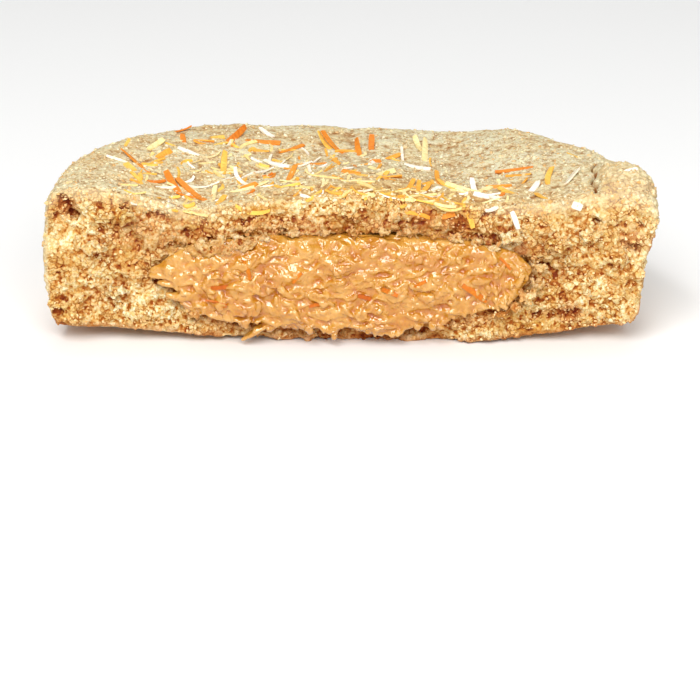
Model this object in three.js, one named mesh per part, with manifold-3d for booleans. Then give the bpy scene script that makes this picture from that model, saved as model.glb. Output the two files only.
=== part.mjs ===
// Half of a round stuffed cookie, cut straight through its middle and set down on its base.
//
// A thick soft-baked cookie is baked round a lens of cream filling. Here it is cut in two, so that
// the crumb and the filling show on the cut face. There are two solids:
//   cookie_half  the baked cookie: flat base with a rounded lower edge, upright wall, broad rolled
//                shoulder, gently uneven top, torn cut face, and the pocket that holds the filling
//   filling      half of the cream lens, which bulges out of the cut and laps over the crumb
//
// Millimetres, +Z up. The cut face looks along -Y. The origin is under the middle of the bounding
// box, on the surface that the cookie stands on.
import * as THREE from "three";
import { mergeVertices } from "three/addons/utils/BufferGeometryUtils.js";
import Module from "manifold-3d";

const wasm = await Module();
wasm.setup();

// ---- Driving dimensions ----
const RADIUS = 52.5; // plan radius of the whole cookie
const ROUNDNESS = 2.32; // power of the plan's superellipse, where 2 is a circle
const TOP = 24.8; // height of the top between its crown and its rim
const CROWN = { height: 2.5, x: 1, width: 17, depth: 24 }; // low dome that the filling pushes up
const SHOULDER = { across: 4.8, down: 4.9, fullness: 0.9 }; // rolled edge between wall and top
const LOWER_EDGE = { across: 2.6, up: 2.2 }; // rounded edge between base and wall
const BULGE = 0.5; // how far the wall swells outwards half way up
const LEAN = { left: 0.3, right: 2.6, from: 0.5 }; // how far the wall draws in below its upper half
const BASE = { flatFrom: -7, flatTo: 19, liftLeft: 3.2, liftRight: 3.6, flatDepth: 33, liftBack: 1.6 };

// Rise of the top round its edge, between two shares of the radius. It eases off where the cut ends.
const RIM = { from: 0.5, to: 0.86, left: 4.2, right: 3, back: 0.1, spread: 0.8, atCut: 0.78, cutShare: 0.8 };

// Slow unevenness of the plan, as shares of the radius, and of the top and the wall, in millimetres.
const PLAN_WAVES = [
  { share: 0.006, lobes: 3, turn: 0.5 },
  { share: 0.004, lobes: 7, turn: 0 },
];
const TOP_WAVES = [
  { height: 0.45, size: 14, seed: 3 },
  { height: 0.25, size: 6, seed: 4 },
];
const WALL_WAVES = { out: 0.45, around: 7, up: 2.5, seed: 5 };

// Relief of the torn cut face.
const TEARS = { depth: 0.75, width: 11, height: 6.6, seed: 8 };
const FLAKES = { depth: 0.4, width: 4.4, height: 4.4, seed: 9 };
const UNDERCUT = { depth: 1.3, fullTo: 1.4, goneAt: 5.4, halfWidth: 27, taperFrom: 0.6 }; // under the filling

const FILLING = {
  x: -1.4, // middle of the lens on the cut face
  z: 14.2,
  halfWidth: 31.8,
  above: 5.4, // from the middle up to the upper edge
  below: 11.2, // and down to the lower edge
  powerAbove: 2.6, // powers of the outline's superellipse, where 2 is an ellipse
  powerBelow: 2.2,
  raggedAbove: 0.03, // unevenness of the outline, as a share of its size
  raggedBelow: 0.09,
  depth: 31, // how far the lens runs into the cookie
  proud: 1.7, // how far it bulges out of the cut
  lip: 0.55, // how far the bulge's edge stands before the cut
  neck: { depth: 1.6, size: 0.97 }, // where the bulge narrows into the pocket
};
const RAGGED_WAVES = [
  { share: 1, count: 5.1, seed: 3 },
  { share: 0.3, count: 9, seed: 4 },
];
const CLEARANCE = 0.3; // gap between filling and pocket

// ---- Resolution of the faceted surfaces ----
const AROUND = 120;
const BASE_RINGS = 5;
const EDGE_STEPS = 3;
const WALL_STEPS = 5;
const SHOULDER_STEPS = 6;
const TOP_RINGS = 9;
const CUT_CELLS = { x: 52, z: 15 };
const FILLING_AROUND = 64;
const BULGE_SIZES = [0.45, 0.75, 0.92, 1]; // rings of the filling's bulge, as shares of its outline
const LENS_STEPS = 8;

// ---- Smooth random relief ----
const ease = (t) => t * t * (3 - 2 * t);
const sum = (values) => values.reduce((total, value) => total + value, 0);
const between = (from, to, v) => ease(THREE.MathUtils.clamp((v - from) / (to - from), 0, 1));

// A repeatable number from -1 to 1 for each whole-numbered lattice point.
function latticeValue(i, j, seed) {
  let h = Math.imul(i, 374761393) ^ Math.imul(j, 668265263) ^ Math.imul(seed, 1274126177);
  h = Math.imul(h ^ (h >>> 13), 1103515245);
  return ((h ^ (h >>> 16)) >>> 0) / 2 ** 31 - 1;
}

// Smooth noise from -1 to 1 over a plane, one lattice cell wide.
function noise(u, v, seed) {
  const i = Math.floor(u);
  const j = Math.floor(v);
  const a = ease(u - i);
  const b = ease(v - j);
  const near = latticeValue(i, j, seed) * (1 - a) + latticeValue(i + 1, j, seed) * a;
  const far = latticeValue(i, j + 1, seed) * (1 - a) + latticeValue(i + 1, j + 1, seed) * a;
  return near * (1 - b) + far * b;
}

// ---- Outer form of the whole cookie ----
function rimRadius(angle) {
  const round =
    (Math.abs(Math.cos(angle)) ** ROUNDNESS + Math.abs(Math.sin(angle)) ** ROUNDNESS) ** (-1 / ROUNDNESS);
  const waves = PLAN_WAVES.map((wave) => wave.share * Math.sin(wave.lobes * angle + wave.turn));
  return RADIUS * (round + sum(waves));
}

function topHeight(x, y) {
  const crown = Math.exp(-(((x - CROWN.x) / CROWN.width) ** 2) - (y / CROWN.depth) ** 2);
  const angle = Math.atan2(y, x);
  const side = Math.abs(Math.cos(angle));
  const rise =
    THREE.MathUtils.lerp(RIM.back, x < 0 ? RIM.left : RIM.right, side ** RIM.spread) *
    THREE.MathUtils.lerp(1, RIM.atCut, between(RIM.cutShare, 1, side));
  const rim = rise * between(RIM.from, RIM.to, Math.hypot(x, y) / rimRadius(angle));
  const waves = TOP_WAVES.map((wave) => wave.height * noise(x / wave.size, y / wave.size, wave.seed));
  return TOP + CROWN.height * crown + rim + sum(waves);
}

// The base is flat where it stands, and lifts a little towards both ends of the cut and the back.
function baseHeight(x, y) {
  const left = BASE.liftLeft * between(0, 1, (BASE.flatFrom - x) / (RADIUS + BASE.flatFrom));
  const right = BASE.liftRight * between(0, 1, (x - BASE.flatTo) / (RADIUS - BASE.flatTo));
  const back = BASE.liftBack * between(BASE.flatDepth, RADIUS, y);
  return left + right + back;
}

// Points from the middle of the base, out, up the wall, over the shoulder and in to the top's middle.
function profile(angle) {
  const rim = rimRadius(angle);
  const lean = THREE.MathUtils.lerp(LEAN.left, LEAN.right, 0.5 + 0.5 * Math.cos(angle));
  const foot = rim - lean;
  const at = (r, height) => {
    const x = r * Math.cos(angle);
    const y = r * Math.sin(angle);
    return new THREE.Vector3(x, y, height(x, y));
  };
  const points = [];
  for (let i = 0; i <= BASE_RINGS; i++) {
    points.push(at(((foot - LOWER_EDGE.across) * i) / BASE_RINGS, baseHeight));
  }
  for (let i = 1; i <= EDGE_STEPS; i++) {
    const turn = (i / EDGE_STEPS) * (Math.PI / 2);
    const r = foot - LOWER_EDGE.across * (1 - Math.sin(turn));
    points.push(at(r, (x, y) => baseHeight(x, y) + LOWER_EDGE.up * (1 - Math.cos(turn))));
  }
  for (let i = 1; i <= WALL_STEPS; i++) {
    const share = i / WALL_STEPS;
    const leaning = between(LEAN.from, 1, share);
    const middle = Math.sin(Math.PI * share);
    const uneven = WALL_WAVES.out * noise(angle * WALL_WAVES.around, share * WALL_WAVES.up, WALL_WAVES.seed);
    const r = THREE.MathUtils.lerp(foot, rim, leaning) + middle * (BULGE * (1 - leaning) + uneven);
    const wallHeight = (x, y) =>
      THREE.MathUtils.lerp(baseHeight(x, y) + LOWER_EDGE.up, topHeight(x, y) - SHOULDER.down, share);
    points.push(at(r, wallHeight));
  }
  for (let i = 1; i <= SHOULDER_STEPS; i++) {
    const turn = (i / SHOULDER_STEPS) * (Math.PI / 2);
    const r = rim - SHOULDER.across * (1 - Math.cos(turn) ** SHOULDER.fullness);
    points.push(at(r, (x, y) => topHeight(x, y) - SHOULDER.down * (1 - Math.sin(turn))));
  }
  for (let i = TOP_RINGS - 1; i >= 0; i--) {
    points.push(at(((rim - SHOULDER.across) * i) / TOP_RINGS, topHeight));
  }
  return points;
}

// Joins closed rings of points, whose first and last rings are single points, into a surface.
function surfaceOfRings(rings) {
  const positions = [];
  const triangle = (...corners) => corners.forEach((p) => positions.push(p.x, p.y, p.z));
  for (let k = 0; k + 1 < rings.length; k++) {
    const lower = rings[k];
    const upper = rings[k + 1];
    for (let i = 0; i < lower.length; i++) {
      const j = (i + 1) % lower.length;
      if (k > 0) triangle(lower[i], lower[j], upper[i]);
      if (k + 2 < rings.length) triangle(lower[j], upper[j], upper[i]);
    }
  }
  return new THREE.BufferGeometry().setAttribute(
    "position",
    new THREE.Float32BufferAttribute(positions, 3),
  );
}

function wholeCookie() {
  const columns = [];
  for (let i = 0; i < AROUND; i++) columns.push(profile((i / AROUND) * 2 * Math.PI));
  const rings = columns[0].map((_, k) => columns.map((column) => column[k]));
  return surfaceOfRings(rings);
}

// ---- The cut ----
// How far behind (+) or before (-) the cut plane the crumb's surface lies.
function cutRelief(x, z) {
  const relief = ({ depth, width, height, seed }) => depth * noise(x / width, z / height, seed);
  const across = 1 - between(UNDERCUT.taperFrom, 1, Math.abs(x - FILLING.x) / UNDERCUT.halfWidth);
  const low = 1 - between(UNDERCUT.fullTo, UNDERCUT.goneAt, z);
  return relief(TEARS) + relief(FLAKES) + UNDERCUT.depth * across * low;
}

// A block that holds everything behind the cut.
function blockBehindCut() {
  const margin = 6;
  const width = 2 * (RADIUS + margin);
  const height = TOP + 2 * margin + CROWN.height;
  const depth = RADIUS + 2 * margin;
  const block = new THREE.BoxGeometry(width, depth, height, CUT_CELLS.x, 1, CUT_CELLS.z);
  block.translate(0, depth / 2, height / 2 - margin);
  const position = block.getAttribute("position");
  for (let i = 0; i < position.count; i++) {
    if (position.getY(i) < depth / 2) position.setY(i, cutRelief(position.getX(i), position.getZ(i)));
  }
  return block;
}

// ---- The filling ----
// Size of the filling's outline on the cut face, towards an angle from +X.
function fillingOutline(angle) {
  const across = Math.cos(angle);
  const up = Math.sin(angle);
  const tall = up > 0 ? FILLING.above : FILLING.below;
  const power = up > 0 ? FILLING.powerAbove : FILLING.powerBelow;
  const ragged = up > 0 ? FILLING.raggedAbove : FILLING.raggedBelow;
  const oval =
    (Math.abs(across / FILLING.halfWidth) ** power + Math.abs(up / tall) ** power) ** (-1 / power);
  const waves = RAGGED_WAVES.map(
    (wave) => wave.share * noise(across * wave.count, up * wave.count, wave.seed),
  );
  return oval * (1 + ragged * sum(waves));
}

// The lens from its front pole to its back pole, swollen on every side by grow.
function fillingLens(grow) {
  const { proud, lip, neck, depth } = FILLING;
  const stations = [{ y: -proud, size: 0 }];
  for (const size of BULGE_SIZES) stations.push({ y: -lip - (proud - lip) * (1 - size ** 4), size });
  for (let i = 0; i < LENS_STEPS; i++) {
    const turn = (i / LENS_STEPS) * (Math.PI / 2);
    stations.push({
      y: neck.depth + (depth - neck.depth) * Math.sin(turn),
      size: neck.size * Math.cos(turn),
    });
  }
  stations.push({ y: depth, size: 0 });
  const middle = depth / 2;
  const rings = stations.map(({ y, size }) => {
    const ring = [];
    for (let i = 0; i < FILLING_AROUND; i++) {
      const angle = (-i / FILLING_AROUND) * 2 * Math.PI;
      const r = size === 0 ? 0 : fillingOutline(angle) * size + grow;
      ring.push(
        new THREE.Vector3(
          FILLING.x + r * Math.cos(angle),
          y + grow * Math.sign(y - middle),
          FILLING.z + r * Math.sin(angle),
        ),
      );
    }
    return ring;
  });
  return surfaceOfRings(rings);
}

// ---- Solids ----
function solidOf(geometry) {
  const bare = new THREE.BufferGeometry();
  bare.setAttribute("position", geometry.getAttribute("position"));
  if (geometry.index) bare.setIndex(geometry.index);
  const merged = mergeVertices(bare, 1e-4);
  return new wasm.Manifold(
    new wasm.Mesh({
      numProp: 3,
      vertProperties: merged.getAttribute("position").array,
      triVerts: new Uint32Array(merged.index.array),
    }),
  );
}

function geometryOf(solid) {
  const mesh = solid.getMesh();
  const geometry = new THREE.BufferGeometry();
  geometry.setAttribute("position", new THREE.BufferAttribute(mesh.vertProperties, 3));
  geometry.setIndex(new THREE.BufferAttribute(mesh.triVerts, 1));
  geometry.computeVertexNormals();
  return geometry;
}

const filling = solidOf(fillingLens(0));
const cookieHalf = solidOf(wholeCookie())
  .intersect(solidOf(blockBehindCut()))
  .subtract(solidOf(fillingLens(CLEARANCE)));

// ---- Scene graph ----
const materials = {
  cookie: new THREE.MeshStandardMaterial({ color: 0xdcb47a, roughness: 0.85, metalness: 0 }),
  filling: new THREE.MeshStandardMaterial({ color: 0xe2a65c, roughness: 0.3, metalness: 0 }),
};

function namedMesh(name, solid, material) {
  const mesh = new THREE.Mesh(geometryOf(solid), material);
  mesh.name = name;
  return mesh;
}

const stuffedCookieHalf = new THREE.Group();
stuffedCookieHalf.add(
  namedMesh("cookie_half", cookieHalf, materials.cookie),
  namedMesh("filling", filling, materials.filling),
);
const box = new THREE.Box3().setFromObject(stuffedCookieHalf);
const centre = box.getCenter(new THREE.Vector3());
stuffedCookieHalf.position.set(-centre.x, -centre.y, -box.min.z);

export default stuffedCookieHalf;
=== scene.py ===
"""Half of a thick stuffed cookie on a pale studio floor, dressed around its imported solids.

The pieces are the baked half with its crust and torn crumb, loose grains of crumb, the grit of the
crust, the cream filling, and the shreds of coconut. Blender's unit is the metre, and every length
below is a number of millimetres times MM, or says so. The cut faces -Y, and +Z is up.
"""

import math

import bpy
import numpy as np
from bpy.props import FloatProperty, FloatVectorProperty, PointerProperty
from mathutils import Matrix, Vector
from mathutils.bvhtree import BVHTree


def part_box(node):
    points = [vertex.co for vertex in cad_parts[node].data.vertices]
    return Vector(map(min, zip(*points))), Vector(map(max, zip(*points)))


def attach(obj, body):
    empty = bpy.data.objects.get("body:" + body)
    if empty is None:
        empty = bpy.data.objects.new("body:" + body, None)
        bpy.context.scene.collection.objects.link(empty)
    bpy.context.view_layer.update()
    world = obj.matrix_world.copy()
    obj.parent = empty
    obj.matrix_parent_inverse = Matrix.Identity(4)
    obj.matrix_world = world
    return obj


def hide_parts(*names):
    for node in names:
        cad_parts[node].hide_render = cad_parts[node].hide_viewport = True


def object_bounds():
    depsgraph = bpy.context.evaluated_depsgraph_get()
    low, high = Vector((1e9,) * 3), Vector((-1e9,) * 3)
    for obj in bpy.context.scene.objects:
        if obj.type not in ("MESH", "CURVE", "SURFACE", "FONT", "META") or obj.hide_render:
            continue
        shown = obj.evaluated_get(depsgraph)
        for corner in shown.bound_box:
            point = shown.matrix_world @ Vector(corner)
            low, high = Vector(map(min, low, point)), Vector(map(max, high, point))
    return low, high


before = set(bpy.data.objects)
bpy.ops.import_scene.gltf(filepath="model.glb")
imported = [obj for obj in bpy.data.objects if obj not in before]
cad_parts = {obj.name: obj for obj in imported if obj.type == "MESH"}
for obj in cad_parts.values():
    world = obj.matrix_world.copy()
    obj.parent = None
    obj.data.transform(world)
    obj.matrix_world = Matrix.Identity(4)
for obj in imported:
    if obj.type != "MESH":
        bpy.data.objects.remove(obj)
CAD_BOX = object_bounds()

bl_info = {
    "name": "Stuffed Cookie Half",
    "version": (1, 0, 0),
    "blender": (4, 5, 0),
    "location": "3D View > Sidebar > Cookie",
    "description": "Dresses the packed solids of a halved stuffed cookie",
    "category": "Object",
}

MM = 0.001
BODY = "root"
SEED = 11
WHITE = "#FFFFFF"

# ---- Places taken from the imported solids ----
COOKIE_LOW, COOKIE_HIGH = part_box("cookie_half")
FILLING_LOW, FILLING_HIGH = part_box("filling")
FILLING_PROUD = 1.7 * MM  # how far the filling bulges out of the cut
CUT_Y = FILLING_LOW.y + FILLING_PROUD
CUT_AREA = (COOKIE_HIGH.x - COOKIE_LOW.x) * (COOKIE_HIGH.z - COOKIE_LOW.z) / MM**2  # in square millimetres
FILLING_X = (FILLING_LOW.x + FILLING_HIGH.x) / 2
FILLING_HALF = (FILLING_HIGH.x - FILLING_LOW.x) / 2
FILLING_Z = FILLING_HIGH.z - 5.4 * MM  # level at which the filling is widest
OUTLINE_DEPTH = 2.5 * MM  # behind the cut, past the rounding of its edge, where its outline is read
OUTLINE_STEPS = (140, 60)  # along X and along Z
RAY_MARGIN = 2 * MM  # how far outside a solid a ray at it starts

# ---- How fine the meshes are, and how many small things there are ----
DOUGH_STEPS = (0.8 * MM, 0.5 * MM)  # between vertices, at first and when its hollows are torn
CREAM_STEPS = (0.6 * MM, 0.19 * MM)  # between vertices, at first and with its strings
DOUGH_TRIANGLES, CREAM_TRIANGLES = 190000, 115000
PELLETS, GRAINS = 1.1, 2.6  # on each square millimetre of the cut, grains before they are thinned out
GRAIN_CLUSTERS = 260
LUMPS_IN_A_CLOD = 22
GRIT, GRIT_SIZE = 4500, 0.24 * MM
STRINGS, DRIPS = 280, 46
SHRED_SEGMENTS = 6
WEIGHT_STEPS = 20  # in which a displacement fades out
MERGE_DISTANCE = 0.01 * MM
STRAIGHT = 0.01  # the smallest curl of a copy, in radians
LONE_GRAINS, CLUSTERED_GRAINS = 0.12, 0.6  # shares that stay far from a cluster and more at its middle
CLUSTER_WIDTH = 1.5  # in millimetres
SHRED_THICKNESS = 0.28  # in millimetres

# Hollows (+) and ledges (-) in the crumb: millimetres along X and Z, half width, half height, tilt in
# degrees and depth.
HOLLOWS = (
    (-48.4, 25.2, 3.0, 1.2, -58, 1.6),
    (-47.2, 23.2, 1.6, 0.9, -10, 1.7),
    (-42.8, 25.6, 1.0, 0.5, -20, 0.8),
    (-33.0, 23.0, 4.5, 1.1, -8, 0.8),
    (-37.0, 18.5, 1.6, 2.2, 40, 0.7),
    (-33.5, 13.2, 3.4, 0.5, -2, 1.8),
    (-32.0, 11.4, 3.2, 0.5, -3, 1.8),
    (-28.0, 20.2, 1.0, 0.8, 0, 1.6),
    (-16.0, 22.5, 6.0, 1.0, 6, 0.6),
    (-9.0, 20.6, 6.0, 0.6, 3, 0.7),
    (20.0, 19.8, 9.0, 0.6, -2, 0.8),
    (42.5, 22.2, 1.0, 0.8, 0, 1.6),
    (48.5, 17.5, 2.2, 1.6, -30, 1.8),
    (33.5, 14.2, 2.0, 0.9, -30, 1.8),
    (35.0, 5.6, 6.5, 0.9, 8, 1.0),
    (36.0, 7.6, 6.0, 1.2, 8, -1.1),
    (-50.5, 6.0, 2.0, 0.5, 10, 1.5),
    (10.0, 2.2, 6.0, 1.0, 0, 1.2),
    (-18.0, 3.6, 5.0, 0.9, -12, 1.2),
    (-41.0, 23.0, 3.5, 2.0, 0, -1.2),
    (45.0, 24.0, 3.5, 2.2, 0, -1.0),
)

# Clods: millimetres along X and Z, half size, and how far their middle stands before the cut.
CLODS = (
    (30.6, 9.2, 1.5, 0.5),
    (32.4, 11.4, 1.3, 0.3),
    (32.8, 14.6, 1.2, 0.3),
    (28.6, 7.4, 1.2, 0.5),
    (25.6, 6.2, 1.0, 0.6),
    (27.0, 19.8, 1.6, 0.2),
    (35.4, 18.6, 1.9, 0.1),
    (41.0, 20.4, 1.6, 0.2),
    (46.0, 15.5, 1.4, 0.1),
    (-44.0, 18.0, 1.7, 0.1),
    (-39.0, 23.4, 1.8, 0.2),
    (-29.5, 17.6, 1.3, 0.2),
    (-40.5, 10.2, 1.5, 0.0),
    (-27.0, 6.0, 1.3, 0.1),
    (-27.4, 17.6, 1.3, 0.6),
    (-25.6, 18.6, 1.5, 0.8),
    (-24.2, 17.8, 1.1, 1.2),
    (-22.6, 18.8, 1.5, 0.9),
    (-21.2, 18.0, 1.1, 1.3),
    (-19.6, 18.9, 1.5, 1.0),
    (-18.0, 18.4, 1.1, 1.4),
    (-16.6, 19.4, 1.3, 1.0),
    (-14.2, 20.0, 1.0, 0.8),
    (-9.5, 20.7, 1.0, 0.5),
    (-4.0, 21.0, 0.9, 0.5),
    (0.6, 20.8, 1.1, 0.6),
    (5.6, 21.0, 0.9, 0.5),
    (9.8, 20.7, 1.2, 0.6),
    (14.4, 20.4, 0.9, 0.6),
    (18.0, 19.9, 1.1, 0.6),
    (21.8, 19.2, 1.0, 0.7),
    (24.8, 18.2, 1.1, 0.6),
)

# Spots of the cut that the oven toasted: millimetres along X and Z, and radius.
TOASTED_SPOTS = (
    (-48.4, 24.8, 2.2),
    (-50.5, 3.6, 1.8),
    (18.5, 22.4, 2.0),
    (12.5, 23.0, 2.2),
    (29.5, 17.0, 1.4),
    (48.5, 19.0, 2.0),
    (38.0, 6.0, 2.4),
)

# Cracks in the crust: corners as (millimetres along X, millimetres behind the cut), width, depth.
CRACKS = (
    (((43.6, 20), (42.4, 16.5), (43.0, 12.5), (41.7, 9), (42.4, 6), (42.0, 3)), 0.36, 1.6),
    (((-20.5, 25), (-17.5, 23), (-14.5, 18.5)), 0.5, 0.5),
    (((-36, 4.5), (-32, 4.2), (-29, 2.4)), 0.5, 0.5),
)

# Tongues of cream: millimetres along X and Z, heading in degrees, half length and half thickness.
TONGUES = (
    (-30.6, 14.4, 10, 3.8, 1.1),
    (-31.6, 13.0, 0, 3.0, 0.6),
    (-29.8, 11.4, -4, 3.4, 0.7),
    (-28.6, 9.2, -10, 3.2, 0.8),
    (-26.5, 7.4, -20, 2.8, 0.9),
    (-16.5, 2.6, 32, 2.8, 0.55),
    (-13.0, 4.0, 40, 2.0, 0.7),
    (29.0, 15.5, -60, 2.0, 0.4),
    (27.0, 8.4, 28, 2.4, 0.5),
)

# Shades of coconut: how many are scattered, and the colours of the palest and the deepest shreds.
COCONUT = {
    "white": (34, "#FFFDF6", "#F2E8D0"),
    "straw": (90, "#FBEDB8", "#F0D488"),
    "golden": (90, "#F8CE62", "#EBA23A"),
    "toasted": (10, "#F2A238", "#D87A22"),
}

# The shreds that catch the eye, each listed. A row is millimetres along X, millimetres behind
# the cut, heading in degrees, length, width, curl in degrees, and how far its far end stands off.
LAID_SHREDS = {
    "white": (
        (12.0, 25.0, 166, 4.8, 0.9, 10, 0.6),
        (9.6, 30.5, 92, 4.4, 0.5, 6, 1.2),
        (-15.6, 20.0, 35, 4.6, 1.0, 5, 0.4),
        (-13.2, 24.0, 150, 5.2, 1.0, 4, 0.8),
        (-19.4, 15.5, 108, 7.6, 0.7, 40, 1.2),
        (-15.2, 41.5, 130, 4.0, 1.0, 4, 0.6),
        (-7.3, 17.0, 95, 3.6, 0.6, 4, 0.8),
        (21.8, 12.5, 96, 5.4, 0.9, 6, 1.0),
        (23.8, 6.0, 162, 5.2, 1.1, 12, 0.4),
        (38.4, 12.0, 62, 6.0, 1.3, 4, 0.8),
        (32.0, 10.0, 62, 3.6, 1.2, 3, 0.6),
        (48.2, 8.0, 25, 2.6, 0.8, 4, 0.4),
        (-41.0, 18.0, 148, 4.6, 0.5, 6, 0.3),
        (-28.6, 26.0, 162, 4.2, 1.0, 6, 0.3),
        (-25.6, 11.0, 8, 6.6, 1.0, -28, 0.8),
        (-36.6, 2.4, 130, 2.8, 1.2, 4, 0.3),
    ),
    "straw": (
        (12.4, 36.5, 102, 5.0, 1.0, 4, 1.2),
        (13.8, 32.5, 88, 7.4, 1.1, 3, 1.8),
        (-4.2, 12.0, 160, 5.6, 0.9, 5, 0.3),
        (1.4, 9.0, -14, 6.0, 0.8, 4, 0.3),
        (6.4, 15.5, 38, 4.0, 1.1, 4, 0.5),
        (19.8, 10.5, 150, 7.0, 0.9, 4, 0.4),
        (23.8, 11.0, 48, 3.0, 1.2, 4, 0.4),
        (-34.8, 27.0, 60, 4.6, 1.1, 4, 0.8),
        (-23.8, 7.6, 86, 5.0, 0.9, 5, 0.8),
    ),
    "golden": (
        (-4.6, 36.4, 118, 5.0, 0.9, 2, 1.8),
        (-16.0, 31.0, -4, 3.2, 1.0, 4, 0.2),
        (7.8, 30.0, 40, 3.6, 0.9, 4, 0.4),
        (-22.2, 22.5, 92, 8.0, 1.1, 5, 1.4),
        (-24.0, 35.0, 20, 2.6, 1.2, 8, 0.2),
        (7.2, 13.0, 8, 4.0, 1.0, 5, 0.3),
        (10.8, 8.4, 72, 3.2, 0.8, 6, 0.8),
        (12.2, 7.8, 88, 3.4, 0.8, 6, 0.8),
        (13.6, 8.2, 64, 3.2, 0.8, 6, 0.8),
        (15.8, 15.0, 96, 6.0, 0.9, 8, 1.2),
        (17.0, 12.0, 128, 4.2, 0.8, 8, 0.6),
        (29.6, 17.5, -10, 4.6, 0.7, 2, 0.2),
        (34.6, 13.5, 76, 5.6, 1.0, 34, 1.0),
        (27.0, 8.6, 130, 4.0, 0.9, 8, 0.4),
        (32.6, 5.0, 118, 3.8, 1.0, 6, 0.4),
        (-38.4, 14.5, 128, 3.0, 1.3, 6, 0.2),
        (-33.0, 23.0, 58, 4.0, 1.3, 4, 0.4),
        (-22.4, 4.0, 70, 3.6, 1.0, 6, 0.4),
    ),
    "toasted": (
        (-3.0, 35.0, 125, 6.8, 1.2, 2, 2.2),
        (-20.6, 37.0, 65, 6.8, 1.2, 3, 1.4),
        (-15.6, 35.5, -8, 6.4, 1.4, 2, 0.4),
        (-10.4, 33.0, 38, 5.4, 0.9, 10, 0.5),
        (1.5, 33.5, 95, 5.0, 1.1, 2, 1.6),
        (3.9, 35.5, 88, 4.6, 1.1, 2, 1.5),
        (4.6, 26.5, 8, 2.0, 1.1, 4, 0.3),
        (-17.8, 10.0, 30, 3.2, 1.2, 25, 0.5),
        (-26.4, 32.0, -5, 3.8, 0.6, 3, 0.2),
        (-7.0, 24.0, -4, 5.6, 0.7, 6, 0.2),
        (-10.4, 15.5, 80, 7.0, 1.0, 4, 1.0),
        (0.2, 15.0, 150, 3.6, 1.0, 8, 0.3),
        (29.0, 20.0, -5, 6.8, 0.7, 2, 0.2),
        (26.2, 12.0, -14, 4.6, 0.9, 6, 0.4),
        (-37.6, 18.0, 124, 10.4, 0.9, 3, 0.6),
        (-30.6, 39.0, 32, 3.2, 1.0, 4, 0.8),
        (-30.2, 32.0, 100, 3.0, 1.0, 3, 0.5),
        (-30.6, 10.5, 114, 7.4, 1.2, 2, 0.8),
        (-28.0, 8.8, 126, 9.2, 1.2, 2, 0.5),
    ),
}

# Shreds that hang over the edge of the crust. Their rows give millimetres up, not behind the cut.
HANGING_SHREDS = {
    "white": (
        (28.2, 22.4, -70, 3.4, 0.9, 8, 0.3),
        (38.9, 25.0, -20, 1.8, 1.3, 0, 0.2),
    ),
    "golden": (
        (11.6, 23.4, -12, 4.4, 0.7, 25, 0.3),
        (20.4, 22.8, -70, 2.6, 0.9, 6, 0.3),
    ),
    "toasted": (
        (16.4, 23.4, 20, 2.4, 1.0, 12, 0.2),
        (-24.4, 24.4, -22, 5.0, 1.0, 4, 0.2),
    ),
}

# Flakes that show in the cream: rows as for the hanging shreds.
CREAM_FLAKES = (
    (21.0, 10.6, -35, 4.2, 1.0, 8, 0.1),
    (22.6, 9.2, -30, 2.2, 0.6, 5, 0.1),
    (-23.0, 8.6, -14, 3.8, 0.9, 10, 0.1),
    (-17.6, 14.8, -72, 3.6, 0.7, 20, 0.1),
    (-22.4, 11.4, 8, 3.0, 0.7, -15, 0.1),
    (6.8, 10.8, -24, 3.0, 0.8, 12, 0.1),
    (2.4, 9.6, -16, 2.6, 0.7, 8, 0.1),
    (12.0, 12.2, 30, 2.4, 0.6, 10, 0.1),
    (-9.0, 13.4, 50, 2.4, 0.6, 20, 0.1),
    (-6.0, 8.2, 15, 2.2, 0.6, 20, 0.1),
    (26.6, 15.6, -48, 2.8, 0.5, 10, 0.3),
)

# Soft lights: name, place, and size in metres, and watts.
LIGHTS = (
    ("key", (-0.28, -0.42, 0.78), 0.16, 1.5),
    ("window", (-0.14, -0.58, 0.5), 0.42, 4.1),
    ("front", (0.1, -0.9, 0.14), 0.4, 1.25),
    ("lamp", (0.2, -0.62, 0.42), 0.24, 1.5),
    ("fill", (0.75, -0.7, 0.35), 0.6, 1.0),
    ("top", (0.05, 0.35, 0.9), 0.6, 1.7),
)
WORLD_STRENGTH = 0.36
FLOOR_SIZE = 6.0  # in metres
LENS, SENSOR = 134.5, 36.0  # in millimetres
CAMERA_DISTANCE, CAMERA_TARGET_Z = 450 * MM, 13 * MM
CAMERA_CLIP = (0.01, 20.0)  # in metres
CAMERA_ELEVATION = math.radians(19.3)
CAMERA_DROP = math.radians(1.65)  # it looks this much below the cookie, which then stands high


# ---- Numbers and arrays ----
def linear(hex_colour):
    """An sRGB hex colour as linear red, green and blue."""
    shares = [int(hex_colour[i : i + 2], 16) / 255 for i in (1, 3, 5)]
    return [s / 12.92 if s <= 0.04045 else ((s + 0.055) / 1.055) ** 2.4 for s in shares]


def smoothstep(low, high, value):
    """0 below low, 1 above high and a smooth turn between, for arrays."""
    t = np.clip((value - low) / (high - low), 0, 1)
    return t * t * (3 - 2 * t)


def rising(low, high, length):
    """0 where a length is below low millimetres, 1 where it is above high, and smooth between."""
    return smoothstep(low * MM, high * MM, length)


def falling(low, high, length):
    """1 where a length is below low millimetres, 0 where it is above high, and smooth between."""
    return 1 - rising(low, high, length)


def bell(length, width):
    """1 where a length is 0, falling to about a third at width millimetres."""
    return np.exp(-((length / (width * MM)) ** 2))


def unit(vectors):
    """The same vectors, each one long."""
    return vectors / np.linalg.norm(vectors, axis=-1, keepdims=True)


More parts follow.
